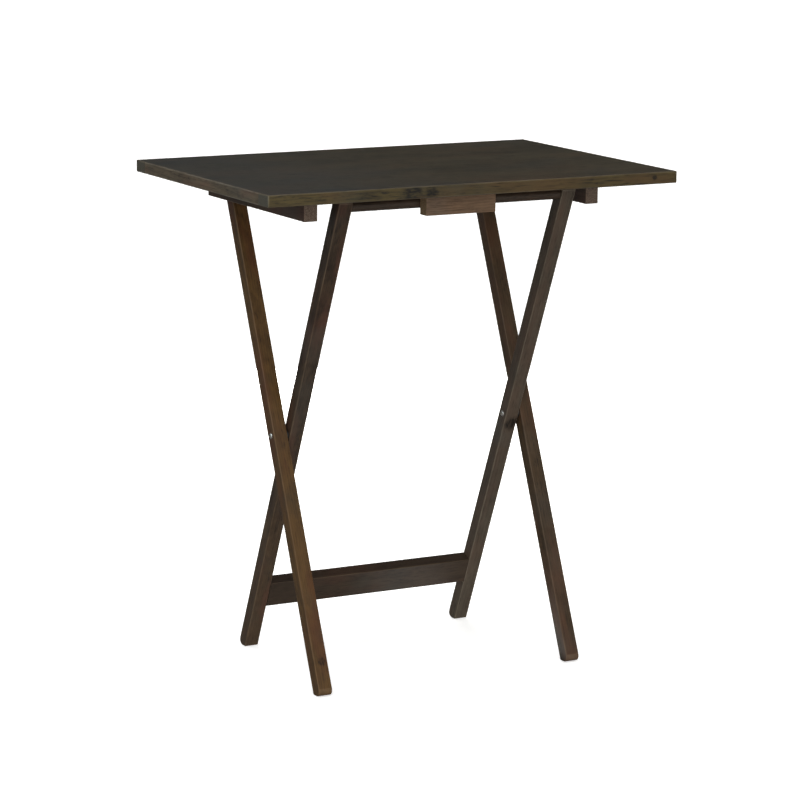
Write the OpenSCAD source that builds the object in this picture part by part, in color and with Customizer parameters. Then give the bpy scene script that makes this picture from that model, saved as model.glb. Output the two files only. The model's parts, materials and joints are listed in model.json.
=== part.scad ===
// Folding tray table: a veneered tray on two crossed pairs of wooden legs.
// X runs along the tray, -Y is the front, Z is up, and the origin is on the floor
// under the middle of the tray. Units are millimetres.

/* [Tray] */
// Length of the tray, left to right
tray_length = 600; // [460:1:700]
// Depth of the tray, front to back
tray_depth = 400; // [360:1:500]
// Thickness of the tray with both veneers
tray_thickness = 16; // [14:0.5:22]
// Height of the tray's upper face above the floor
table_height = 670; // [640:1:720]
// Thickness of each veneer sheet
veneer_thickness = 0.6; // [0.4:0.1:1.5]
// Width of the solid lippings round the core
lipping_width = 28; // [15:1:40]

/* [Legs] */
// Width of a leg across the table
leg_width = 20; // [17:0.5:24]
// Depth of a leg's section
leg_depth = 18.5; // [16:0.5:20]
// Lean of each leg from upright
leg_lean = 23; // [19:0.5:25]
// Distance from the middle of the table to an outer leg's outer face
outer_leg_face = 198; // [150:1:210]
// Gap between an outer leg and the inner leg beside it
leg_gap = 3; // [2:0.5:5]
// Height of the cross pivot
cross_height = 321; // [310:1:335]
// Distance of the cross pivot from the middle of the tray, towards the back
cross_offset = -2; // [-8:0.5:8]
// Radius of the rounded outer corner of a foot
foot_radius = 8; // [2:0.5:9]
// Distance from the tray's underside down to the upper pivots
pivot_drop = 14; // [13:0.5:16]
// Gap between an inner leg's top and the tray's underside
inner_top_gap = 0.3; // [0.2:0.1:1]
// Gap between an outer leg's top and the tray's underside
outer_top_gap = 1; // [0.5:0.1:2]

/* [Cleats and stop block] */
// Width of a cleat
cleat_width = 19; // [16:0.5:24]
// Height of a cleat
cleat_height = 30.5; // [28:0.5:36]
// Front end of a cleat, from the middle of the tray
cleat_front = 136; // [120:1:160]
// Back end of a cleat, from the middle of the tray
cleat_back = 149; // [148:1:165]
// Gap between a cleat and the outer leg beside it
cleat_gap = 1; // [0.8:0.1:2]
// Length of the stop block
block_length = 102; // [60:1:150]
// Depth of the stop block
block_depth = 18; // [14:0.5:22]
// Height of the stop block
block_height = 28.5; // [26:0.5:34]
// Distance of the stop block's middle from the tray's middle, towards the left
block_offset = 5; // [0:1:20]

/* [Dowel and stretcher] */
// Diameter of the dowel between the tops of the inner legs
dowel_diameter = 14; // [12:0.5:16]
// Diameter of the tenon on each end of the dowel
tenon_diameter = 10; // [8:0.5:11]
// Length of each tenon
tenon_length = 15; // [10:0.5:16]
// Height of the stretcher, measured along the legs
stretcher_height = 38.5; // [30:0.5:44]
// Distance from the cross pivot down the leg to the stretcher
stretcher_drop = 240.4; // [200:0.1:250]
// Diameter of the stretcher's joint dowels
joint_dowel_diameter = 8; // [6:0.5:9]
// Length of the stretcher's joint dowels
joint_dowel_length = 30; // [20:1:30]

/* [Fastenings] */
// Diameter of the pivots' sleeve nuts
sleeve_diameter = 6; // [5.5:0.1:7]
// Diameter of the pivots' bolts
bolt_diameter = 4; // [3:0.1:4.5]
// Diameter of the domed heads
head_diameter = 8; // [7.8:0.1:10]
// Height of the domed heads
head_height = 2.5; // [2:0.1:2.5]
// Outside diameter of the washers
washer_diameter = 14; // [11:0.5:16]
// Diameter of the wood screws
screw_diameter = 4; // [3:0.1:4.5]
// Diameter of the wood screws' heads
screw_head_diameter = 7.6; // [6:0.1:8]
// Depth that the wood screws reach above the tray's underside
screw_bite = 9.5; // [6:0.5:11]

/* [Hidden] */
$fn = 48;

// Clearances: round a turning or glued shaft, and along a pivot under a head or washer
shaft_clearance = 0.05;
end_clearance = 0.1;
// How far a cutting shape runs past the face it opens
past = 1;

// Levels of the tray
underside = table_height - tray_thickness;
core_low = underside + veneer_thickness;
core_height = tray_thickness - 2 * veneer_thickness;
lipping_x = tray_length / 2 - lipping_width;
lipping_y = tray_depth / 2 - lipping_width;

// Faces of the legs and cleats, from the middle of the table outwards
outer_leg_inside = outer_leg_face - leg_width;
inner_leg_face = outer_leg_inside - leg_gap;
inner_leg_inside = inner_leg_face - leg_width;
cleat_inside = outer_leg_face + cleat_gap;
cleat_outside = cleat_inside + cleat_width;

// The upper pivots stand level with each other, so all four leg halves are equally long
pivot_height = underside - pivot_drop;
pivot_spread = (pivot_height - cross_height) * tan(leg_lean);
leg_reach = (pivot_height - cross_height) / cos(leg_lean);
outer_pivot_y = cross_offset + pivot_spread;
inner_pivot_y = cross_offset - pivot_spread;

// The stop block stands just in front of the dowel
stop_gap = 0.3;
block_back = inner_pivot_y - dowel_diameter / 2 - stop_gap;

// The sleeve nuts carry the pivots, and stop short of the far head
sleeve_short = 2;
thread_depth = 30;
bolt_reach = 26;
rim_height = 0.5;
socket_width = 3;
socket_depth = 1.2;

// Wood screws: places along a cleat and along the block, and the head's cone
cleat_screw_y = [-105, -10, 85];
block_screw_spacing = 64;
screw_head_height = 2.6;
screw_slot_width = 0.9;
screw_slot_depth = 1.4;
joint_dowel_spacing = 19;

// Points along an arc of a circle in one plane
function arc(centre, radius, from, to, steps) = [
    for (i = [0 : steps])
        let (a = from + (to - from) * i / steps)
        centre + radius * [cos(a), sin(a)]
];

// Side outline of a leg about the cross pivot, leaning its top to the back.
// The foot is cut level with the floor, its outer corner is rounded, and the top is
// an arc about the upper pivot.
function leg_outline(top_radius) =
    let (
        half = leg_depth / 2,
        top_angle = asin(half / top_radius),
        centre_t = foot_radius - half,
        centre_s = (foot_radius - cross_height + centre_t * sin(leg_lean)) / cos(leg_lean),
        heel_s = (half * sin(leg_lean) - cross_height) / cos(leg_lean)
    )
    concat(
        [[half, heel_s]],
        arc([0, leg_reach], top_radius, 90 - top_angle, 90 + top_angle, 12),
        arc([centre_t, centre_s], foot_radius, 180, 270 + leg_lean, 8)
    );

// Stands a side outline up across the table, from one X to another
module across(from, to) {
    translate([from, 0, 0])
        rotate([90, 0, 90])
            linear_extrude(to - from)
                children();
}

// A round shape along X at a height and depth
module along_x(from, to, radius, y, z) {
    translate([from, y, z])
        rotate([0, 90, 0])
            cylinder(h = to - from, r = radius);
}

// A leg without its holes, placed about the cross pivot
module leg_blank(from, to, top_radius) {
    translate([0, cross_offset, cross_height])
        rotate([-leg_lean, 0, 0])
            across(from, to)
                polygon(leg_outline(top_radius));
}

// Places a shape drawn along the inner legs: Z runs up the leg from the cross pivot
module on_inner_leg() {
    translate([0, cross_offset, cross_height])
        rotate([leg_lean, 0, 0])
            children();
}

// Domed head with a hexagon socket. It sits on a face at x and points along X
module domed_head(x, y, z, way) {
    dome = head_height - rim_height;
    dome_radius = (pow(head_diameter / 2, 2) + pow(dome, 2)) / (2 * dome);
    translate([x, y, z])
        rotate([0, 90 * way, 0])
            difference() {
                intersection() {
                    cylinder(h = head_height, d = head_diameter);
                    translate([0, 0, head_height - dome_radius])
                        sphere(r = dome_radius);
                }
                translate([0, 0, head_height - socket_depth])
                    cylinder(h = socket_depth + past, d = socket_width, $fn = 6);
            }
}

// Sleeve nut on the outer side of a pivot, and the bolt that screws into it from inside
module sleeve_nut(inside, outside, y, z) {
    tip = inside + sleeve_short;
    domed_head(outside, y, z, 1);
    difference() {
        along_x(tip, outside, sleeve_diameter / 2, y, z);
        along_x(tip - past, tip + thread_depth, bolt_diameter / 2 + shaft_clearance, y, z);
    }
}

module pivot_bolt(inside, y, z) {
    domed_head(inside, y, z, -1);
    along_x(inside, inside + bolt_reach, bolt_diameter / 2, y, z);
}

module washer(from, to, y, z) {
    difference() {
        along_x(from, to, washer_diameter / 2, y, z);
        along_x(from - past, to + past, sleeve_diameter / 2 + shaft_clearance, y, z);
    }
}

module pivot_bore(from, to, y, z) {
    along_x(from - past, to + past, sleeve_diameter / 2 + shaft_clearance, y, z);
}

// Countersunk screw driven upwards, its head level with the face at low.
// Growing it makes the hole for it
module wood_screw(x, y, low, grow) {
    shank = screw_diameter / 2 + grow;
    head = screw_head_diameter / 2 + grow;
    translate([x, y, low]) {
        cylinder(h = screw_head_height, r1 = head, r2 = shank);
        cylinder(h = underside + screw_bite - low + grow, r = shank);
    }
}

module slotted_screw(x, y, low) {
    difference() {
        wood_screw(x, y, low, 0);
        for (turn = [0, 90])
            translate([x, y, low])
                rotate([0, 0, turn])
                    translate([-screw_diameter / 2, -screw_slot_width / 2, -past])
                        cube([screw_diameter, screw_slot_width, past + screw_slot_depth]);
    }
}

cleat_low = underside - cleat_height;
cleat_middle = (cleat_inside + cleat_outside) / 2;
block_low = underside - block_height;
block_middle_y = block_back - block_depth / 2;
block_screw_x = [-block_offset - block_screw_spacing / 2, -block_offset + block_screw_spacing / 2];

// Every hole that the wood screws need
module screw_holes() {
    for (x = [-cleat_middle, cleat_middle], y = cleat_screw_y)
        wood_screw(x, y, cleat_low, shaft_clearance);
    for (x = block_screw_x)
        wood_screw(x, block_middle_y, block_low, shaft_clearance);
}

module joint_dowels(grow) {
    middle = -stretcher_drop - stretcher_height / 2;
    reach = joint_dowel_length / 2 + grow;
    for (side = [-1, 1], step = [-0.5, 0.5])
        on_inner_leg()
            along_x(side * inner_leg_inside - reach, side * inner_leg_inside + reach,
                joint_dowel_diameter / 2 + grow, 0, middle + step * joint_dowel_spacing);
}

module top_core() {
    color("#8a6f4c")
        difference() {
            translate([-lipping_x, -lipping_y, core_low])
                cube([2 * lipping_x, 2 * lipping_y, core_height]);
            screw_holes();
        }
}

module veneer(low) {
    translate([-tray_length / 2, -tray_depth / 2, low])
        cube([tray_length, tray_depth, veneer_thickness]);
}

module top_veneer() {
    color("#3a3833")
        veneer(table_height - veneer_thickness);
}

module bottom_veneer() {
    color("#43392d")
        difference() {
            veneer(underside);
            screw_holes();
        }
}

module front_lipping() {
    color("#4a4232")
        translate([-tray_length / 2, -tray_depth / 2, core_low])
            cube([tray_length, lipping_width, core_height]);
}

module back_lipping() {
    mirror([0, 1, 0]) front_lipping();
}

module right_lipping() {
    color("#4d4535")
        translate([lipping_x, -lipping_y, core_low])
            cube([lipping_width, 2 * lipping_y, core_height]);
}

module left_lipping() {
    mirror([1, 0, 0]) right_lipping();
}

module right_cleat() {
    color("#4a3e33")
        difference() {
            translate([cleat_inside, -cleat_front, cleat_low])
                cube([cleat_width, cleat_front + cleat_back, cleat_height]);
            pivot_bore(cleat_inside, cleat_outside, outer_pivot_y, pivot_height);
            screw_holes();
        }
}

module left_cleat() {
    mirror([1, 0, 0]) right_cleat();
}

module right_cleat_screws() {
    color("#b8b4aa")
        for (y = cleat_screw_y)
            slotted_screw(cleat_middle, y, cleat_low);
}

module left_cleat_screws() {
    mirror([1, 0, 0]) right_cleat_screws();
}

module stop_block() {
    color("#4d3d32")
        difference() {
            translate([-block_offset - block_length / 2, block_back - block_depth, block_low])
                cube([block_length, block_depth, block_height]);
            screw_holes();
        }
}

module stop_block_screws() {
    color("#b8b4aa")
        for (x = block_screw_x)
            slotted_screw(x, block_middle_y, block_low);
}

module right_outer_leg() {
    color("#453a30")
        difference() {
            leg_blank(outer_leg_inside, outer_leg_face, pivot_drop - outer_top_gap);
            pivot_bore(outer_leg_inside, outer_leg_face, cross_offset, cross_height);
            pivot_bore(outer_leg_inside, outer_leg_face, outer_pivot_y, pivot_height);
        }
}

module left_outer_leg() {
    mirror([1, 0, 0]) right_outer_leg();
}

module right_inner_leg() {
    color("#46392f")
        difference() {
            translate([0, 2 * cross_offset, 0])
                mirror([0, 1, 0])
                    leg_blank(inner_leg_inside, inner_leg_face, pivot_drop - inner_top_gap);
            pivot_bore(inner_leg_inside, inner_leg_face, cross_offset, cross_height);
            along_x(inner_leg_inside - past, inner_leg_inside + tenon_length + shaft_clearance,
                tenon_diameter / 2 + shaft_clearance, inner_pivot_y, pivot_height);
            joint_dowels(shaft_clearance);
        }
}

module left_inner_leg() {
    mirror([1, 0, 0]) right_inner_leg();
}

module top_dowel() {
    tenon_end = inner_leg_inside + tenon_length;
    color("#4d3d32") {
        along_x(-inner_leg_inside, inner_leg_inside, dowel_diameter / 2, inner_pivot_y, pivot_height);
        along_x(-tenon_end, tenon_end, tenon_diameter / 2, inner_pivot_y, pivot_height);
    }
}

module stretcher() {
    color("#43372c")
        difference() {
            on_inner_leg()
                translate([-inner_leg_inside, -leg_depth / 2, -stretcher_drop - stretcher_height])
                    cube([2 * inner_leg_inside, leg_depth, stretcher_height]);
            joint_dowels(shaft_clearance);
        }
}

module stretcher_dowels() {
    color("#b99a6b")
        joint_dowels(0);
}

module right_cross_sleeve() {
    color("#c9c7c1")
        sleeve_nut(inner_leg_inside, outer_leg_face, cross_offset, cross_height);
}

module left_cross_sleeve() {
    mirror([1, 0, 0]) right_cross_sleeve();
}

module right_cross_bolt() {
    color("#c9c7c1")
        pivot_bolt(inner_leg_inside - end_clearance, cross_offset, cross_height);
}

module left_cross_bolt() {
    mirror([1, 0, 0]) right_cross_bolt();
}

module right_cross_washer() {
    color("#2a2a2a")
        washer(inner_leg_face + 2 * end_clearance, outer_leg_inside, cross_offset, cross_height);
}

module left_cross_washer() {
    mirror([1, 0, 0]) right_cross_washer();
}

module right_top_sleeve() {
    color("#c9c7c1")
        sleeve_nut(outer_leg_inside, cleat_outside + end_clearance, outer_pivot_y, pivot_height);
}

module left_top_sleeve() {
    mirror([1, 0, 0]) right_top_sleeve();
}

module right_top_bolt() {
    color("#c9c7c1")
        pivot_bolt(outer_leg_inside - end_clearance, outer_pivot_y, pivot_height);
}

module left_top_bolt() {
    mirror([1, 0, 0]) right_top_bolt();
}

module right_top_washer() {
    color("#2a2a2a")
        washer(outer_leg_face + end_clearance, cleat_inside - end_clearance,
            outer_pivot_y, pivot_height);
}

module left_top_washer() {
    mirror([1, 0, 0]) right_top_washer();
}

top_core();
top_veneer();
bottom_veneer();
front_lipping();
back_lipping();
left_lipping();
right_lipping();
left_cleat();
right_cleat();
left_cleat_screws();
right_cleat_screws();
stop_block();
stop_block_screws();
left_outer_leg();
right_outer_leg();
left_inner_leg();
right_inner_leg();
top_dowel();
stretcher();
stretcher_dowels();
left_cross_bolt();
right_cross_bolt();
left_cross_sleeve();
right_cross_sleeve();
left_cross_washer();
right_cross_washer();
left_top_bolt();
right_top_bolt();
left_top_sleeve();
right_top_sleeve();
left_top_washer();
right_top_washer();
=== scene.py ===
"""A folding tray table: a veneered tray on two crossed pairs of stained wooden legs."""

import json
from math import asin, atan2, cos, pi, radians, sin, sqrt, tan

import bmesh
import bpy
from mathutils import Matrix, Vector


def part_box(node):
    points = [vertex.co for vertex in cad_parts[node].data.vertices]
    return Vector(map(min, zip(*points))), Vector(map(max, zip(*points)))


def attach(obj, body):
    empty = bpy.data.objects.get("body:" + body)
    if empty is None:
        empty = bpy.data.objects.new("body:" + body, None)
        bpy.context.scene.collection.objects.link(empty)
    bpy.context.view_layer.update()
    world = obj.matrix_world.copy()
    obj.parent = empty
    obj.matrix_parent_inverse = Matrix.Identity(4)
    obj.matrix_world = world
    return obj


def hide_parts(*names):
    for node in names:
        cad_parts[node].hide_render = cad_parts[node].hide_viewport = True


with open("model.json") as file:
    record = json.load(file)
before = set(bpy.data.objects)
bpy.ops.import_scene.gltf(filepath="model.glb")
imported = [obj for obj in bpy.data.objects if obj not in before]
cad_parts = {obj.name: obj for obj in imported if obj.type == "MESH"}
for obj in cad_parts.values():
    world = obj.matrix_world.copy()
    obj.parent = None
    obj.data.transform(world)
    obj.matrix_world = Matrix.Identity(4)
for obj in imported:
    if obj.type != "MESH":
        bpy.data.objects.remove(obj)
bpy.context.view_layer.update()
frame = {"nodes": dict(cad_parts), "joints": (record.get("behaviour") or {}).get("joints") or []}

# ---------------------------------------------------------------------------------------
# Tray blank. The panel, its lippings and its two veneers are glued up square, then the
# edges of the whole tray are rounded over in one pass, so every piece is cut from one
# rounded blank and carries its own share of the rounded edge.
# ---------------------------------------------------------------------------------------
mm = 0.001
tray_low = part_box("bottom_veneer")[0]
tray_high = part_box("top_veneer")[1]
tray_round = 1.5 * mm
joint_ease = 0.12 * mm
hair = 0.01 * mm
crease = radians(40)


def new_shape():
    """An empty bmesh whose faces can be marked as worn edges, with painted highlight on rounded feet, or as
    end grain.
    """
    shape = bmesh.new()
    shape.faces.layers.float.new("arris")
    shape.faces.layers.float.new("end_grain")
    return shape


def block(low, high):
    """A plain block between two corners."""
    shape = new_shape()
    size = high - low
    place = Matrix.Translation((low + high) / 2) @ Matrix.Diagonal((*size, 1))
    bmesh.ops.create_cube(shape, size=1, matrix=place)
    return shape


def round_over(shape, edges, width, steps, wear_and_highlight=1.0):
    """Rounds edges over and marks the new faces, where the finish wears thin and where rounded feet get a
    painted highlight.
    """
    made = bmesh.ops.bevel(shape, geom=list(edges), offset=width, offset_type="OFFSET",
                           affect="EDGES", segments=steps, profile=0.5, material=-1,
                           clamp_overlap=True)
    arris = shape.faces.layers.float["arris"]
    for face in made["faces"]:
        face[arris] = wear_and_highlight
    return made["faces"]


def trim(shape, point, outward):
    """Cuts away what lies beyond a plane, closes the cut and gives the edges round it."""
    everything = shape.verts[:] + shape.edges[:] + shape.faces[:]
    cut = bmesh.ops.bisect_plane(shape, geom=everything, dist=1e-7, plane_co=point, plane_no=outward,
                                 clear_outer=True)
    rim = [part for part in cut["geom_cut"] if isinstance(part, bmesh.types.BMEdge)]
    bmesh.ops.holes_fill(shape, edges=rim, sides=0)
    shape.normal_update()
    return rim


def bored(shape, cutters, crossing=False):
    """Cuts closed shapes out of another and gives what is left. crossing is for cutters that
    run through each other."""
    solids = []
    for part in (shape, cutters):
        mesh = bpy.data.meshes.new("cutting")
        part.to_mesh(mesh)
        part.free()
        solids.append(bpy.data.objects.new("cutting", mesh))
        bpy.context.scene.collection.objects.link(solids[-1])
    cut = solids[0].modifiers.new("cut", "BOOLEAN")
    cut.operation = "DIFFERENCE"
    cut.solver = "EXACT"
    cut.use_self = crossing
    cut.object = solids[1]
    evaluated = solids[0].evaluated_get(bpy.context.evaluated_depsgraph_get())
    left = bmesh.new()
    left.from_mesh(evaluated.to_mesh())
    evaluated.to_mesh_clear()
    for solid in solids:
        bpy.data.objects.remove(solid)
    return left


def finish_piece(shape, name, material, body, nodes, grain=None):
    """Makes a shape into a shaded piece that rides on its body in place of its CAD nodes.
    Faces square to the grain, if it is given, are marked as end grain."""
    shape.normal_update()
    if grain:
        end_grain = shape.faces.layers.float["end_grain"]
        for face in shape.faces:
            face[end_grain] = float(abs(face.normal.dot(Vector(grain))) > 0.8)
    mesh = bpy.data.meshes.new(name)
    shape.to_mesh(mesh)
    shape.free()
    mesh.shade_smooth()
    mesh.set_sharp_from_angle(angle=crease)
    mesh.materials.append(material)
    piece = bpy.data.objects.new(name, mesh)
    bpy.context.scene.collection.objects.link(piece)
    shading = piece.modifiers.new("flat_faces", "WEIGHTED_NORMAL")
    shading.keep_sharp = True
    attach(piece, body)
    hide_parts(*nodes)
    return piece


def tray_piece(node, material, grain=(1, 0, 0)):
    """Cuts one piece of the tray out of the rounded blank, along its own box."""
    shape = block(tray_low, tray_high)
    round_over(shape, shape.edges, tray_round, 4)
    low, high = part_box(node)
    for axis in range(3):
        for corner, limit, way in ((low, tray_low, -1), (high, tray_high, 1)):
            if abs(corner[axis] - limit[axis]) > hair:
                outward = Vector((0, 0, 0))
                outward[axis] = way
                rim = trim(shape, corner, outward)
                round_over(shape, [edge for edge in rim if edge.is_valid], joint_ease, 1, 0.0)
    return finish_piece(shape, node + "_piece", material, "tray", [node], grain)


# ---------------------------------------------------------------------------------------
# Veneers. One sheet covers the top and a balancing sheet the underside, with the grain
# along the tray. They are open-grained wood, stained and lacquered satin as every wooden
# piece is: the face a cool grey-brown, greyer towards its left end with a painted
# reflection, the underside browner.
# ---------------------------------------------------------------------------------------
class Shade:
    """A value in a material's node tree. Sums and products of it add Math nodes."""

    def __init__(self, tree, socket=None):
        self.tree = tree
        self.socket = socket

    def add(self, kind, settings=None, sockets=None, output=0):
        """Adds any node: its settings first, then the values or links of its sockets."""
        node = self.tree.nodes.new(kind)
        for name, value in (settings or {}).items():
            if name == "stops":
                for position, colour in value[1:-1]:
                    node.color_ramp.elements.new(position).color = (*colour, 1)
                for index, (position, colour) in ((0, value[0]), (-1, value[-1])):
                    node.color_ramp.elements[index].position = position
                    node.color_ramp.elements[index].color = (*colour, 1)
            else:
                setattr(node, name, value)
        for name, value in (sockets or {}).items():
            if isinstance(value, Shade):
                self.tree.links.new(value.socket, node.inputs[name])
            else:
                node.inputs[name].default_value = value
        return Shade(self.tree, node.outputs[output])

    def math(self, operation, first, second=0.0):
        """Adds a Math node."""
        return self.add("ShaderNodeMath", {"operation": operation}, {0: first, 1: second})

    def __add__(self, other):
        return self.math("ADD", self, other)

    __radd__ = __add__

    def __mul__(self, other):
        return self.math("MULTIPLY", self, other)

    __rmul__ = __mul__

    def __sub__(self, other):
        return self.math("SUBTRACT", self, other)

    def __rsub__(self, other):
        return self.math("SUBTRACT", other, self)

    def stretched(self, along, across):
        """Coordinates squeezed unevenly, along the grain and across it, in cells a metre."""
        return self.add("ShaderNodeVectorMath", {"operation": "MULTIPLY"},
                        {0: self, 1: (along, across, across)})

    def noise(self, detail, roughness):
        """Noise at these coordinates, with cells one unit across."""
        return self.add("ShaderNodeTexNoise", None,
                        {"Vector": self, "Scale": 1.0, "Detail": detail, "Roughness": roughness})

    def ramp(self, low, high, smooth="SMOOTHSTEP"):
        """0 below low and 1 above high, smooth between them."""
        return self.add("ShaderNodeMapRange", {"interpolation_type": smooth},
                        {"Value": self, "From Min": low, "From Max": high})

    def mix(self, first, second):
        """A colour between two, by this value."""
        return self.add("ShaderNodeMix", {"data_type": "RGBA"}, {0: self, 6: first, 7: second}, 2)


def colour(text):
    """A display colour, six hexadecimal digits, as the linear values a shader takes."""
    parts = [int(text[i:i + 2], 16) / 255 for i in (0, 2, 4)]
    linear = [part / 12.92 if part <= 0.04045 else ((part + 0.055) / 1.055) ** 2.4
              for part in parts]
    return (*linear, 1.0)


def dimmed(text, share):
    """A display colour with only a share of its light."""
    return (*(share * part for part in colour(text)[:3]), 1.0)


def new_material(name):
    """A material, its shader and the start of its node tree."""
    material = bpy.data.materials.new(name)
    material.use_nodes = True
    shader = material.node_tree.nodes["Principled BSDF"]
    return material, shader, Shade(material.node_tree)


def stained_wood(name, dark, light, red, grey, cut, turn=(0, 0, 0), heart=(0, 0, 0), ring=3.0,
                 figure=1.0, pores=1.0, blotch=1.0, rub_and_highlight=0.5, rub_highlight_tone="6f5c45", sheen=0.45,
                 sheen_fade=None, height_shade=None, dark_patches=()):
    """Open-grained wood under a wiped stain and a satin lacquer. turn brings the grain onto X,
    heart moves the middle of the growth rings and ring is their spacing in millimetres. The
    stain runs from dark to light with patches of red and grey, and cut is its tone on end
    grain. figure, pores, blotch and rub_and_highlight say how strongly the rings, the pores,
    the uneven stain and the lighter edges show: rubbed wood, and on rounded feet also a
    painted highlight. sheen_fade is where along X a painted grey reflection gives out,
    height_shade is where up Z a painted shade grows deeper, and dark_patches are the middles
    and sizes of dark patches."""
    material, shader, start = new_material(name)
    place = start.add("ShaderNodeTexCoord", output=3)
    grain = start.add("ShaderNodeMapping", None, {"Vector": place, "Location": heart, "Rotation": turn})
    # growth rings: distance from the heart line, pulled about by a slow wander
    wander = grain.stretched(3, 22).noise(2.0, 0.55)
    across = start.add("ShaderNodeSeparateXYZ", None, {0: grain}, 1)
    deep = start.add("ShaderNodeSeparateXYZ", None, {0: grain}, 2)
    radius = start.math("SQRT", across * across + deep * deep)
    season = start.math("FRACT", radius * (1000 / ring) + wander * 5.0)
    late = season.ramp(0.45, 0.92) * (1 - season.ramp(0.93, 1.0))
    early = 1 - season.ramp(0.0, 0.5)
    # pores: short dark strokes along the grain, in clusters and thickest in the early wood
    pore = grain.stretched(30, 900).noise(2.0, 0.6).ramp(0.55, 0.7) * (early * 0.6 + 0.4)
    cluster = grain.stretched(14, 70).noise(2.0, 0.5).ramp(0.38, 0.62)
    ticks = grain.stretched(95, 560).noise(3.0, 0.65).ramp(0.5, 0.66) * (cluster * 0.8 + 0.2)
    fibre = grain.stretched(45, 1600).noise(2.0, 0.65)
    crowd = grain.stretched(140, 640).noise(3.0, 0.65).ramp(0.42, 0.58)
    # the stain takes unevenly, in mottles, in patches and in slower drifts of tone
    mottle = grain.stretched(55, 150).noise(3.0, 0.6)
    patches = grain.stretched(20, 50).noise(4.0, 0.6).ramp(0.3, 0.7)
    drift = grain.stretched(2.6, 9).noise(2.0, 0.5).ramp(0.3, 0.7)
    depth = (patches * (0.24 * blotch) + drift * (0.2 * blotch) + mottle * (0.5 * blotch)
             + fibre * 0.2 + late * (0.24 * figure) + ticks * (0.42 * pores)
             + (0.2 - 0.45 * blotch))
    # painted shade: the stain grows darker along the height, towards the end of the given span
    if height_shade:
        level = start.add("ShaderNodeSeparateXYZ", None, {0: place}, 2)
        depth = depth + (level + mottle * 0.3).ramp(*height_shade) * 0.5 - 0.22
    stain = depth.ramp(0.0, 1.0, "LINEAR").mix(colour(light), colour(dark))
    warm = grain.stretched(7, 26).noise(3.0, 0.6).ramp(0.46, 0.68)
    grey_and_sheen = place.stretched(9, 9).noise(3.0, 0.55).ramp(0.5, 0.7) * 0.45
    # painted reflection: the grey grows towards one end along X, standing for the lacquer's sheen
    if sheen_fade:
        along = start.add("ShaderNodeSeparateXYZ", None, {0: place}, 0)
        grey_and_sheen = grey_and_sheen * 0.5 + (along + mottle * 0.2).ramp(*sheen_fade) * 0.5
    toned = grey_and_sheen.mix((warm * 0.7).mix(stain, colour(red)), colour(grey))
    deepest = dimmed(dark, 0.35)
    inked = (pore * (0.7 * pores)).mix(toned, deepest)
    # round each dark patch the strokes crowd together
    for middle, size in dark_patches:
        away = start.add("ShaderNodeVectorMath", {"operation": "DISTANCE"}, {0: place, 1: middle}, 1)
        near = (away * (1 / size) + mottle * 1.2).ramp(1.9, 1.1)
        inked = (near * (fibre * 0.9 + crowd * 0.6 - 0.1)).mix(inked, deepest)
    # sawn ends take the stain as a speckle of open pores
    ends = start.add("ShaderNodeAttribute", {"attribute_name": "end_grain"}, output=2)
    speck = grain.stretched(40, 1100).noise(2.0, 0.6).ramp(0.42, 0.62)
    cut_tone = (speck * 0.75).mix(colour(cut), colour(dark))
    soaked = (ends * 0.8).mix(inked, cut_tone)
    # the arrises are rubbed back before lacquering, unevenly; on the rounded feet this lighter tone is also
    # a painted highlight
    arris = start.add("ShaderNodeAttribute", {"attribute_name": "arris"}, output=2)
    uneven = grain.stretched(16, 60).noise(4.0, 0.65).ramp(0.3, 0.7)
    wear_and_highlight = arris * (uneven * 0.8 + 0.2) * rub_and_highlight
    start.tree.links.new(wear_and_highlight.mix(soaked, colour(rub_highlight_tone)).socket, shader.inputs["Base Color"])
    gloss = fibre * 0.16 + pore * 0.2 + ends * 0.15 + (sheen - 0.08)
    start.tree.links.new(gloss.socket, shader.inputs["Roughness"])
    height = (1 - pore) * 0.5 + (1 - ticks) * 0.25 + (1 - late) * 0.1 + fibre * 0.15
    bump = start.add("ShaderNodeBump", None, {"Strength": 0.35, "Distance": 0.25 * mm, "Height": height})
    start.tree.links.new(bump.socket, shader.inputs["Normal"])
    shader.inputs["Specular IOR Level"].default_value = 0.32
    return material


# the grey towards the top's left end is a painted reflection of the light on the lacquer
top_stain = stained_wood("top_veneer_stain", "1e1c16", "474032", "45382a", "363839", "4d453b",
                         heart=(0, 0.06, 0.43), ring=5.5, figure=0.8, pores=1.4, blotch=1.7,
                         rub_and_highlight=0.45, rub_highlight_tone="796b59", sheen_fade=(0.15, -0.15))
under_stain = stained_wood("under_veneer_stain", "211913", "493b2c", "4c3526", "3d3830", "4a3e30",
                           heart=(0.4, -0.05, 0.4), ring=6.0, figure=0.7, pores=0.8, sheen=0.5)
tray_piece("top_veneer", top_stain)
tray_piece("bottom_veneer", under_stain)

# ---------------------------------------------------------------------------------------
# Core and lippings. A board core, hidden inside, with solid wood glued round it. The
# front and back lippings run the full length, so their end grain shows at the sides.
# ---------------------------------------------------------------------------------------
quarter = pi / 2
long_lipping = stained_wood("long_lipping_stain", "1b160d", "5b4e2b", "554125", "3f3f32", "55534c",
                            dark_patches=[((-0.096, -0.2, 0.665), 0.013), ((-0.07, -0.2, 0.66), 0.01),
                                   ((0.265, -0.2, 0.663), 0.004)],
                            heart=(0.1, 0.165, -0.645), ring=2.6, pores=1.5, rub_and_highlight=0.45, rub_highlight_tone="78705b")
side_lipping = stained_wood("side_lipping_stain", "2a221b", "665a48", "6c5140", "555651", "6c6d67",
                            turn=(0, 0, -quarter), heart=(0.3, -0.25, -0.646), ring=2.8, pores=1.3,
                            rub_and_highlight=0.45, rub_highlight_tone="969287")
for node in ("front_lipping", "back_lipping"):
    tray_piece(node, long_lipping)
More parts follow.
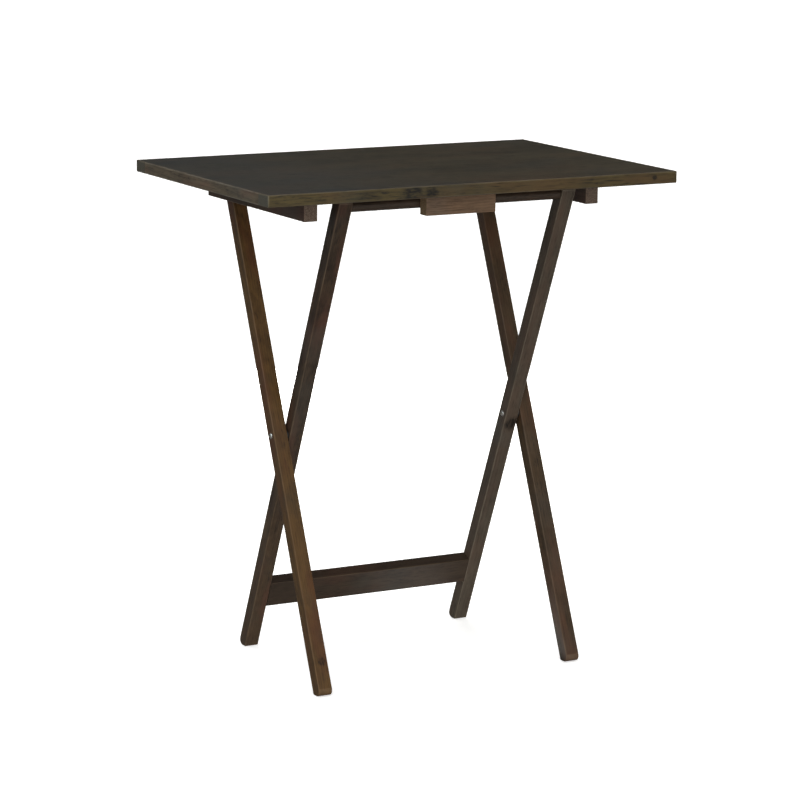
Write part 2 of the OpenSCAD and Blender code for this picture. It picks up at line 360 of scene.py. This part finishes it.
for node in ("left_lipping", "right_lipping"):
    tray_piece(node, side_lipping, (0, 1, 0))


def bare_wood(node, name, squeeze, grit, stops, roughness):
    """Unstained wood on a hidden CAD node: squeeze and grit shape its flecks."""
    material, shader, start = new_material(name)
    flecks = start.add("ShaderNodeTexCoord", output=3).stretched(*squeeze).noise(*grit)
    bands = [(position, colour(tone)[:3]) for position, tone in stops]
    base = flecks.add("ShaderNodeValToRGB", {"stops": bands}, {"Fac": flecks})
    start.tree.links.new(base.socket, shader.inputs["Base Color"])
    shader.inputs["Roughness"].default_value = roughness
    hidden = frame["nodes"][node]
    hidden.data.materials.clear()
    hidden.data.materials.append(material)


bare_wood("top_core", "core_board", (300, 520), (4.0, 0.7), [(0.3, "6e5636"), (0.7, "a98c62")], 0.8)

# ---------------------------------------------------------------------------------------
# Legs. Four plain sticks with eased edges. Each top is rounded about its upper pivot, and
# each foot is cut level with the floor, with its outer corner rounded. Bored for pivots.
# ---------------------------------------------------------------------------------------
joints = {joint["name"]: Vector(joint["pos_m"]) for joint in frame["joints"]}
cross = joints["legs_fold"]
outer_pivot = joints["tray_lift"]
inner_pivot = Vector((0, 2 * cross.y - outer_pivot.y, outer_pivot.z))
lean = atan2(outer_pivot.y - cross.y, outer_pivot.z - cross.z)
leg_depth = 18.5 * mm
leg_ease = 1.3 * mm
foot_round = 8 * mm
foot_steps = 8
bore_radius = 3.05 * mm
floor_gap = 1e-5


def rod(shape, start, end, radius, end_radius=None, sides=32):
    """Adds a closed round rod, or a cone, between two points."""
    run = end - start
    turn = Vector((0, 0, 1)).rotation_difference(run).to_matrix().to_4x4()
    place = Matrix.Translation((start + end) / 2) @ turn
    return bmesh.ops.create_cone(shape, cap_ends=True, segments=sides, radius1=radius,
                                 radius2=radius if end_radius is None else end_radius,
                                 depth=run.length, matrix=place)


def pivot_bores(low, high, pivots):
    """Cutting rods for the pivot bores through a piece between two corners."""
    drill = bmesh.new()
    past = Vector((1 * mm, 0, 0))
    for point in pivots:
        rod(drill, Vector((low.x, point.y, point.z)) - past, Vector((high.x, point.y, point.z)) + past,
            bore_radius)
    return drill


def leg(node, material, way, top_radius, pivots):
    """Shapes one leg, upright on its pivot first and then leant over. way is 1 where the top
    leans to the back and -1 where it leans forward."""
    low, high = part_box(node)
    reach = (outer_pivot - cross).length
    bottom = -(cross.z / cos(lean) + leg_depth)
    half = leg_depth / 2
    shape = block(Vector((low.x, -half, bottom)), Vector((high.x, half, reach)))
    top_edges = [edge for edge in shape.edges if all(vert.co.z > 0 for vert in edge.verts)
                 and abs(edge.verts[0].co.y - edge.verts[1].co.y) > half]
    bmesh.ops.subdivide_edges(shape, edges=top_edges, cuts=11, use_grid_fill=True)
    for vert in shape.verts:
        if vert.co.z > 0:
            vert.co.z = reach + sqrt(top_radius ** 2 - vert.co.y ** 2)
    stand = Matrix.Translation(cross) @ Matrix.Rotation(-way * lean, 4, "X")
    bmesh.ops.transform(shape, matrix=stand, verts=shape.verts)
    trim(shape, Vector((0, 0, 0)), Vector((0, 0, -1)))
    # the sharp lower corner, on the side that the leg's foot points to
    corner = [edge for edge in shape.edges if all(vert.co.z < floor_gap for vert in edge.verts)
              and abs(edge.verts[0].co.x - edge.verts[1].co.x) > half]
    corner.sort(key=lambda edge: way * edge.verts[0].co.y)
    # the rounded foot corner is drawn lighter: rubbed wood, and a painted highlight where it faces the
    # floor
    round_over(shape, corner[:1], foot_round / tan((quarter - lean) / 2), foot_steps, 0.9)
    sharp = [edge for edge in shape.edges if edge.calc_face_angle(0) > crease]
    round_over(shape, sharp, leg_ease, 3)
    shape = bored(shape, pivot_bores(low, high, pivots))
    body = "outer_legs" if way > 0 else "inner_frame"
    finish_piece(shape, node + "_piece", material, body, [node],
                 (0, -way * sin(lean), cos(lean)))


leg_turns = {1: (lean, quarter, 0), -1: (-lean, quarter, 0)}
# Each leg's stain carries painted shade along its height: the left legs and the right inner leg darker
# towards the top, under the tray, and the right outer leg darker towards the bottom.
leg_stains = {
    "left_outer_leg": stained_wood("left_outer_stain", "28190c", "634826", "593520", "443a2b", "715f49",
                                   dark_patches=[((-0.186, -0.13, 0.044), 0.006)],
                                   turn=leg_turns[1], heart=(0.2, 0.09, 0.2), blotch=1.4, rub_and_highlight=0.36,
                                   rub_highlight_tone="816749", height_shade=(0.45, 1.0)),
    "right_outer_leg": stained_wood("right_outer_stain", "2c2115", "5d4932", "5b3e2c", "4e463d", "776759",
                                    turn=leg_turns[1], heart=(0.9, 0.14, -0.18), ring=3.6,
                                    figure=0.8, blotch=1.2, rub_and_highlight=0.36, rub_highlight_tone="7c6953",
                                    height_shade=(1.0, 0.2)),
    "left_inner_leg": stained_wood("left_inner_stain", "2b1f15", "564431", "5a3b2e", "454038", "7d695a",
                                   turn=leg_turns[-1], heart=(0.5, -0.12, 0.13), figure=0.8,
                                   blotch=1.4, rub_and_highlight=0.36, rub_highlight_tone="7a6752", height_shade=(0.25, 0.65)),
    "right_inner_leg": stained_wood("right_inner_stain", "2e2720", "5a5043", "584639", "4e4d48", "776f64",
                                    # a dark patch on the front face, just below the leg crossing
                                    dark_patches=[((0.168, -0.006, 0.306), 0.011)],
                                    turn=leg_turns[-1], heart=(1.3, 0.16, -0.12), ring=3.4,
                                    figure=0.8, blotch=1.2, rub_and_highlight=0.36, rub_highlight_tone="7c7262",
                                    height_shade=(0.1, 1.2)),
}
outer_top = tray_low.z - outer_pivot.z - 1.0 * mm
inner_top = tray_low.z - inner_pivot.z - 0.3 * mm
for side in ("left", "right"):
    outer_leg = side + "_outer_leg"
    inner_leg = side + "_inner_leg"
    leg(outer_leg, leg_stains[outer_leg], 1, outer_top, [cross, outer_pivot])
    leg(inner_leg, leg_stains[inner_leg], -1, inner_top, [cross])

# ---------------------------------------------------------------------------------------
# Cleats and stop block. Sawn strips with eased edges, screwed up into the tray from
# below. The legs' upper pivots pass through the cleats; the block stops the dowel.
# ---------------------------------------------------------------------------------------
strip_ease = 0.8 * mm
screw_radius = 2.0 * mm
screw_head = 3.8 * mm
screw_cone = 2.6 * mm
shank_play = 0.05 * mm
sink_play = 0.55 * mm
cleat_stain = stained_wood("cleat_stain", "231b14", "514133", "563c30", "434039", "7a6859",
                           turn=(0, 0, -quarter), heart=(0.1, 0.235, -0.61), ring=2.6, sheen=0.5,
                           rub_highlight_tone="7b6757")
block_stain = stained_wood("block_stain", "35261a", "7d6249", "7f5745", "695b4f", "9c8564",
                           heart=(0.15, 0.19, -0.6), ring=2.8, figure=0.8, pores=1.1, sheen=0.5,
                           rub_highlight_tone="8c7663")


def screw_places(node):
    """The middles of the screw heads in a node, on their undersides."""
    points = [vert.co.copy() for vert in frame["nodes"][node].data.vertices]
    lowest = min(point.z for point in points)
    heads = []
    for point in points:
        if point.z - lowest < hair:
            near = [head for head in heads if (point - head[0]).length < 3 * screw_head]
            if near:
                near[0].append(point)
            else:
                heads.append([point])
    middles = []
    for head in heads:
        spans = [(min(p[axis] for p in head) + max(p[axis] for p in head)) / 2 for axis in (0, 1)]
        middles.append(Vector((*spans, lowest)))
    return middles


def strip(node, material, screws, pivots, grain):
    """A sawn strip under the tray, bored for its pivots and countersunk for its screws."""
    low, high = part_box(node)
    shape = block(low, high)
    eased = [edge for edge in shape.edges if min(vert.co.z for vert in edge.verts) < high.z - hair]
    round_over(shape, eased, strip_ease, 3)
    up = Vector((0, 0, 1))
    shanks = pivot_bores(low, high, pivots)
    sinks = bmesh.new()
    for point in screw_places(screws):
        rod(shanks, point - up * mm, point + up * (high.z - low.z + mm), screw_radius + shank_play)
        rod(sinks, point - up * 0.5 * mm, point + up * screw_cone, screw_head + sink_play,
            screw_radius)
    shape = bored(bored(shape, shanks), sinks)
    finish_piece(shape, node + "_piece", material, "tray", [node], grain)


strip("left_cleat", cleat_stain, "left_cleat_screws", [outer_pivot], (0, 1, 0))
strip("right_cleat", cleat_stain, "right_cleat_screws", [outer_pivot], (0, 1, 0))
strip("stop_block", block_stain, "stop_block_screws", [], (1, 0, 0))

# ---------------------------------------------------------------------------------------
# Dowel and stretcher. A turned rod with a tenon on each end joins the tops of the inner
# legs, and a flat board on hidden dowels joins them near the floor.
# ---------------------------------------------------------------------------------------
dowel_stain = stained_wood("dowel_stain", "261c14", "4d3e30", "4c352a", "403a33", "4a3e30",
                           heart=(0.7, 0.15, -0.62), ring=2.5, rub_and_highlight=0.4)
stretcher_stain = stained_wood("stretcher_stain", "1f150f", "44372a", "493326", "39372f", "372e20",
                               turn=(-lean, 0, 0), heart=(0.25, 0.02, -0.05), ring=4.0, figure=0.7, rub_and_highlight=0.5,
                               rub_highlight_tone="574937")
low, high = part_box("top_dowel")
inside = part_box("right_inner_leg")[0].x
dowel_radius = (high.z - low.z) / 2
tenon_radius = 5 * mm
tenon_ease = 0.8 * mm
half_dowel = Vector((inside, 0, 0))
shape = new_shape()
rod(shape, inner_pivot - half_dowel, inner_pivot + half_dowel, dowel_radius, sides=48)
for end in (-1, 1):
    cap = next(face for face in shape.faces
               if len(face.verts) > 4 and face.calc_center_median().x * end > 0)
    bmesh.ops.inset_individual(shape, faces=[cap], thickness=dowel_radius - tenon_radius)
    run = Vector((end * (high.x - inside), 0, 0))
    pushed = bmesh.ops.extrude_discrete_faces(shape, faces=[cap])["faces"]
    bmesh.ops.translate(shape, vec=run, verts=pushed[0].verts)
    round_over(shape, pushed[0].edges, tenon_ease, 2, 0.0)
finish_piece(shape, "top_dowel_piece", dowel_stain, "inner_frame", ["top_dowel"],
             (1, 0, 0))

low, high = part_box("stretcher")
board_ease = 1.2 * mm
stand = Matrix.Translation((low + high) / 2) @ Matrix.Rotation(lean, 4, "X")
board_height = ((high.z - low.z) - leg_depth * sin(lean)) / cos(lean)
half_board = Vector((inside, leg_depth / 2, board_height / 2))
shape = block(-half_board, half_board)
long_edges = [edge for edge in shape.edges
              if abs(edge.verts[0].co.x - edge.verts[1].co.x) > inside]
round_over(shape, long_edges, board_ease, 3)
bmesh.ops.transform(shape, matrix=stand, verts=shape.verts)
finish_piece(shape, "stretcher_piece", stretcher_stain, "inner_frame", ["stretcher"],
             (1, 0, 0))

bare_wood("stretcher_dowels", "joint_dowel_beech", (90, 1100), (3.0, 0.6),
          [(0.35, "9c7a4e"), (0.65, "c6a878")], 0.7)

# ---------------------------------------------------------------------------------------
# Pivots. A sleeve nut goes in from the outer side and a bolt screws into it from inside.
# Both have small domed heads with a hexagon socket, bright plated; nylon washers between.
# ---------------------------------------------------------------------------------------
def plated(name, tone, rough):
    """Bright zinc plate, with a slightly uneven bloom."""
    material, shader, start = new_material(name)
    place = start.add("ShaderNodeTexCoord", output=3)
    bloom = place.stretched(900, 900).noise(2.0, 0.5)
    base = bloom.mix(colour(tone), dimmed(tone, 0.78))
    start.tree.links.new(base.socket, shader.inputs["Base Color"])
    start.tree.links.new((bloom * 0.14 + rough).socket, shader.inputs["Roughness"])
    shader.inputs["Metallic"].default_value = 1.0
    return material


pivot_steel = plated("pivot_steel", "d2d0ca", 0.2)
screw_steel = plated("screw_steel", "c4c1b8", 0.28)
nylon, nylon_shader, nylon_start = new_material("washer_nylon")
haze = nylon_start.add("ShaderNodeTexCoord", output=3).stretched(700, 700).noise(3.0, 0.6)
tint = haze.mix(colour("1d1d1d"), colour("2c2b2a"))
nylon_start.tree.links.new(tint.socket, nylon_shader.inputs["Base Color"])
nylon_start.tree.links.new((haze * 0.2 + 0.4).socket, nylon_shader.inputs["Roughness"])


weld = 1e-6


def turned(outline, turn_point, steps=40):
    """Spins an outline of (distance along, radius) pairs about a line along X."""
    shape = new_shape()
    verts = [shape.verts.new((along, turn_point.y + out, turn_point.z)) for along, out in outline]
    edges = [shape.edges.new(pair) for pair in zip(verts, verts[1:])]
    bmesh.ops.spin(shape, geom=verts + edges, cent=turn_point, axis=Vector((1, 0, 0)),
                   angle=2 * pi, steps=steps, use_merge=True)
    bmesh.ops.remove_doubles(shape, verts=shape.verts, dist=weld)
    bmesh.ops.recalc_face_normals(shape, faces=shape.faces)
    return shape


head_radius = 4 * mm
head_height = 2.5 * mm
head_ease = 0.15 * mm
rim_height = 0.5 * mm
socket_depth = 1.2 * mm
socket_radius = 1.5 * mm
barrel_radius = 3 * mm
barrel_ease = 0.3 * mm
tapped_radius = 2.05 * mm
tapped_ease = 0.2 * mm
tapped_depth = 30 * mm
shank_radius = 2 * mm
thread_pitch = 0.7 * mm
thread_cut = 0.25 * mm
shank_ease = 0.6 * mm
washer_ease = 0.15 * mm


def dome(way, face, steps=7):
    """Outline of a domed head from its crown to its face, way pointing to the crown."""
    rise = head_height - rim_height
    curve = (head_radius ** 2 + rise ** 2) / (2 * rise)
    sweep = asin(head_radius / curve)
    angles = [sweep * step / steps for step in range(steps + 1)]
    crown = [(face + way * (head_height - curve + curve * cos(angle)), curve * sin(angle))
             for angle in angles]
    return crown + [(face + way * head_ease, head_radius), (face, head_radius - head_ease)]


def socket_cutter(way, face, point):
    """The hexagon socket in a head."""
    cutter = bmesh.new()
    deep = Vector((face + way * (head_height - socket_depth), point.y, point.z))
    rod(cutter, deep, deep + Vector((way * 2 * mm, 0, 0)), socket_radius, sides=6)
    return cutter


def pivot_hardware(side, group, body, point):
    """The sleeve nut, bolt and washer of one pivot. The nut's head is on the outer side."""
    way = 1 if side == "right" else -1
    name = side + "_" + group
    sleeve_low, sleeve_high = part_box(name + "_sleeve")
    outer = (sleeve_high.x if way > 0 else sleeve_low.x) - way * head_height
    tip = sleeve_low.x if way > 0 else sleeve_high.x
    outline = dome(way, outer)
    outline += [(outer, barrel_radius), (tip + way * barrel_ease, barrel_radius)]
    outline += [(tip, barrel_radius - barrel_ease), (tip, tapped_radius + tapped_ease)]
    outline += [(tip + way * tapped_ease, tapped_radius), (tip + way * tapped_depth, tapped_radius)]
    outline += [(tip + way * (tapped_depth + 1.2 * mm), 0)]
    shape = bored(turned(outline, point), socket_cutter(way, outer, point))
    finish_piece(shape, name + "_sleeve_piece", pivot_steel, body, [name + "_sleeve"])

    bolt_low, bolt_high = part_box(name + "_bolt")
    inner = (bolt_low.x if way > 0 else bolt_high.x) + way * head_height
    end = bolt_high.x if way > 0 else bolt_low.x
    outline = dome(-way, inner) + [(inner, shank_radius)]
    for turn in range(int((abs(end - inner) - 4 * mm) / thread_pitch)):
        along = inner + way * (3 * mm + turn * thread_pitch)
        outline += [(along, shank_radius), (along + way * thread_pitch / 2, shank_radius - thread_cut)]
    outline += [(end - way * shank_ease, shank_radius), (end, shank_radius - shank_ease), (end, 0)]
    shape = bored(turned(outline, point, 28), socket_cutter(-way, inner, point))
    finish_piece(shape, name + "_bolt_piece", pivot_steel, body, [name + "_bolt"])

    low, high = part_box(name + "_washer")
    rim = (high.z - low.z) / 2
    outline = [(low.x, bore_radius), (low.x, rim - washer_ease), (low.x + washer_ease, rim)]
    outline += [(high.x - washer_ease, rim), (high.x, rim - washer_ease), (high.x, bore_radius)]
    outline += [(low.x, bore_radius)]
    finish_piece(turned(outline, point), name + "_washer_piece", nylon, body, [name + "_washer"])


for side in ("left", "right"):
    pivot_hardware(side, "cross", "outer_legs", Vector((0, cross.y, cross.z)))
    pivot_hardware(side, "top", "top_pivots", Vector((0, outer_pivot.y, outer_pivot.z)))

# ---------------------------------------------------------------------------------------
# Wood screws. Countersunk steel screws with a cross recess, zinc plated, driven up through
# the cleats and the stop block into the tray, with their heads level with the wood.
# ---------------------------------------------------------------------------------------
screw_rim = 0.1 * mm
neck_radius = screw_radius - 0.4 * mm
root_radius = screw_radius - 0.55 * mm
screw_pitch = 1.8 * mm
screw_point = 3 * mm
recess_size = Vector((4.2, 0.9, 2.8)) * mm
for node in ("left_cleat_screws", "right_cleat_screws", "stop_block_screws"):
    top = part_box(node)[1].z
    pieces = new_shape()
    cutters = bmesh.new()
    for point in screw_places(node):
        length = top - point.z
        outline = [(0, 0), (0, screw_head - screw_rim), (screw_rim, screw_head)]
        outline += [(screw_cone, neck_radius)]
        threads = int(length * 0.75 / screw_pitch)
        for turn in range(threads):
            along = length - screw_point - (threads - turn) * screw_pitch
            outline += [(along, root_radius), (along + 0.6 * mm, screw_radius)]
            outline += [(along + 0.9 * mm, root_radius)]
        outline += [(length, 0)]
        verts = [pieces.verts.new((point.x + out, point.y, point.z + along))
                 for along, out in outline]
        edges = [pieces.edges.new(pair) for pair in zip(verts, verts[1:])]
        bmesh.ops.spin(pieces, geom=verts + edges, cent=point, axis=Vector((0, 0, 1)),
                       angle=2 * pi, steps=24, use_merge=True)
        for turn in (0, quarter):
            arm = Matrix.Rotation(turn, 4, "Z") @ Matrix.Diagonal((*recess_size, 1))
            bmesh.ops.create_cube(cutters, size=1, matrix=Matrix.Translation(point) @ arm)
    bmesh.ops.remove_doubles(pieces, verts=pieces.verts, dist=weld)
    bmesh.ops.recalc_face_normals(pieces, faces=pieces.faces)
    finish_piece(bored(pieces, cutters, True), node + "_piece", screw_steel, "tray", [node])

# ---------------------------------------------------------------------------------------
# Studio. The table stands on a plain white floor, lit from the front and from overhead by
# soft boxes and by lamps at the sides and behind; then the camera.
# ---------------------------------------------------------------------------------------
def paper(name, low, high, glow):
    """A sheet of white paper between two corners, which cannot be seen from underneath."""
    sheet = bmesh.new()
    bmesh.ops.create_grid(sheet, x_segments=1, y_segments=1, size=0.5)
    place = Matrix.Translation((low + high) / 2) @ Matrix.Diagonal((*(high.xy - low.xy), 1, 1))
    bmesh.ops.transform(sheet, matrix=place, verts=sheet.verts)
    mesh = bpy.data.meshes.new(name)
    sheet.to_mesh(mesh)
    sheet.free()
    stage = bpy.data.objects.new(name, mesh)
    bpy.context.scene.collection.objects.link(stage)
    material, shader, start = new_material(name)
    shader.inputs["Base Color"].default_value = (0.93, 0.93, 0.92, 1)
    shader.inputs["Roughness"].default_value = 1.0
    shader.inputs["Specular IOR Level"].default_value = 0.0
    shader.inputs["Emission Color"].default_value = (1, 1, 1, 1)
    shader.inputs["Emission Strength"].default_value = glow
    underneath = start.add("ShaderNodeNewGeometry", output=6)
    clear = start.add("ShaderNodeBsdfTransparent")
    white = Shade(start.tree, shader.outputs[0])
    seen = start.add("ShaderNodeMixShader", None, {0: underneath, 1: white, 2: clear})
    start.tree.links.new(seen.socket, start.tree.nodes["Material Output"].inputs["Surface"])
    mesh.materials.append(material)
    return stage


floor_reach = 40
floor_height = -0.4 * mm
floor = paper("floor", Vector((-floor_reach, -floor_reach, floor_height)),
              Vector((floor_reach, floor_reach, floor_height)), 0.58)
floor.visible_diffuse = False
floor.visible_glossy = False
card_height = 0.2 * mm
card = paper("reflector_card", Vector((0.05, -0.2, card_height)), Vector((0.165, 0.1, card_height)),
             0.5)
card.visible_camera = False

world = bpy.data.worlds.new("studio")
bpy.context.scene.world = world
world.use_nodes = True
sky = Shade(world.node_tree)
direction = sky.add("ShaderNodeTexCoord", output=0)
height = sky.add("ShaderNodeSeparateXYZ", None, {0: direction}, 2)


def softbox(towards, start, full):
    """How much of a soft light is seen in a direction: all of it near its middle."""
    near = sky.add("ShaderNodeVectorMath", {"operation": "DOT_PRODUCT"},
                   {0: direction, 1: Vector(towards).normalized()}, 1)
    return near.ramp(start, full)


key = softbox((-0.32, -0.95, 0.1), 0.5, 0.95)
back = softbox((-0.6, 0.6, 1.0), 0.7, 0.98)
overhead = height.ramp(0.92, 1.0)
below = 1 - height.ramp(-0.1, 0.0)
light = key * 1.55 + back * 0.4 + overhead * 6.0 + below * 0.16 + 0.05
backdrop = world.node_tree.nodes["Background"]
backdrop.inputs["Color"].default_value = (1, 0.99, 0.97, 1)
world.node_tree.links.new(light.socket, backdrop.inputs["Strength"])


def lamp(name, place, target, size, energy, tint, glossy=True):
    """A round soft light aimed at a point. Without glossy it gives no reflections."""
    light_data = bpy.data.lights.new(name, "AREA")
    light_data.shape = "DISK"
    light_data.size = size
    light_data.energy = energy
    light_data.color = tint
    stand = bpy.data.objects.new(name, light_data)
    bpy.context.scene.collection.objects.link(stand)
    stand.location = place
    stand.rotation_euler = (Vector(target) - Vector(place)).to_track_quat("-Z", "Y").to_euler()
    stand.visible_glossy = glossy


lamp("side_light", (-1.1, -0.15, 1.0), (-0.2, 0, 0.6), 0.6, 2.8, (0.8, 0.93, 1.0))
lamp("back_light", (0.7, 2.0, 0.4), (0, 0, 0.35), 1.0, 30, (1, 0.97, 0.94), False)
lamp("far_side_light", (2.2, 0.3, 0.4), (0, 0, 0.35), 1.0, 24, (1, 0.97, 0.94), False)

scene = bpy.context.scene
scene.view_settings.view_transform = "Standard"
camera_data = bpy.data.cameras.new("camera")
camera_data.lens = 147.46
camera_data.sensor_width = 36
camera = bpy.data.objects.new("camera", camera_data)
scene.collection.objects.link(camera)
camera.location = (-2.0694, -3.8017, 1.2008)
round_table = Matrix.Rotation(radians(-28.518), 3, "Z")
looking_down = Matrix.Rotation(quarter - radians(11.091), 3, "X")
tipped = Matrix.Rotation(radians(0.563), 3, "Z")
camera.rotation_euler = (round_table @ looking_down @ tipped).to_euler()
scene.camera = camera
